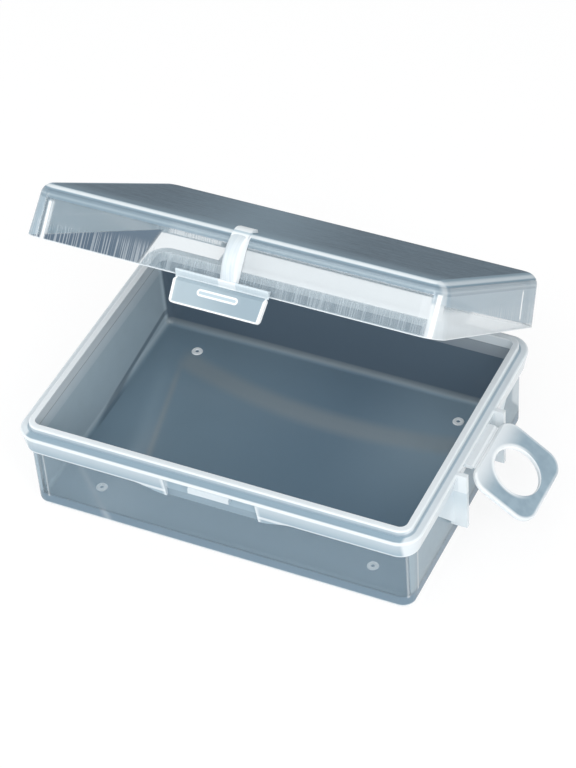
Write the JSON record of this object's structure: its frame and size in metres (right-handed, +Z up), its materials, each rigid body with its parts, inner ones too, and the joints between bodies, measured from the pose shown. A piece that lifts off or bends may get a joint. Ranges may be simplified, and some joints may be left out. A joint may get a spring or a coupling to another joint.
{
  "type": "hinged bead box",
  "caption": "Clear rectangular box with a film-hinged lid, a snap latch tab on the front and a fold-out hang loop on one side.",
  "frame": {"origin": "middle of the base's underside, on the table", "axes": "+X towards the side with the hang loop, -Y towards the latch, +Z up"},
  "size_m": [0.1051, 0.072, 0.0714],
  "materials": {
    "clear_pp": "satin"
  },
  "bodies": {
    "base": {"base": "clear_pp", "lid_film": "clear_pp", "loop_film": "clear_pp"},
    "lid": {"lid": "clear_pp", "latch_film": "clear_pp"},
    "latch_tab": {"latch_tab": "clear_pp"},
    "hang_loop": {"hang_loop": "clear_pp"}
  },
  "joints": [
    {"name": "lid_hinge", "type": "hinge", "parent": "base", "child": "lid", "pos_m": [0, 0.0377, 0.02075], "axis": [-1, 0, 0], "range_deg": [-37, 143]},
    {"name": "latch_hinge", "type": "hinge", "parent": "lid", "child": "latch_tab", "pos_m": [0, -0.01916, 0.06344], "axis": [-1, 0, 0], "range_deg": [-12, 75]},
    {"name": "loop_hinge", "type": "hinge", "parent": "base", "child": "hang_loop", "pos_m": [0.047, 0, 0.0195], "axis": [0, 1, 0], "range_deg": [-125, 25]}
  ]
}
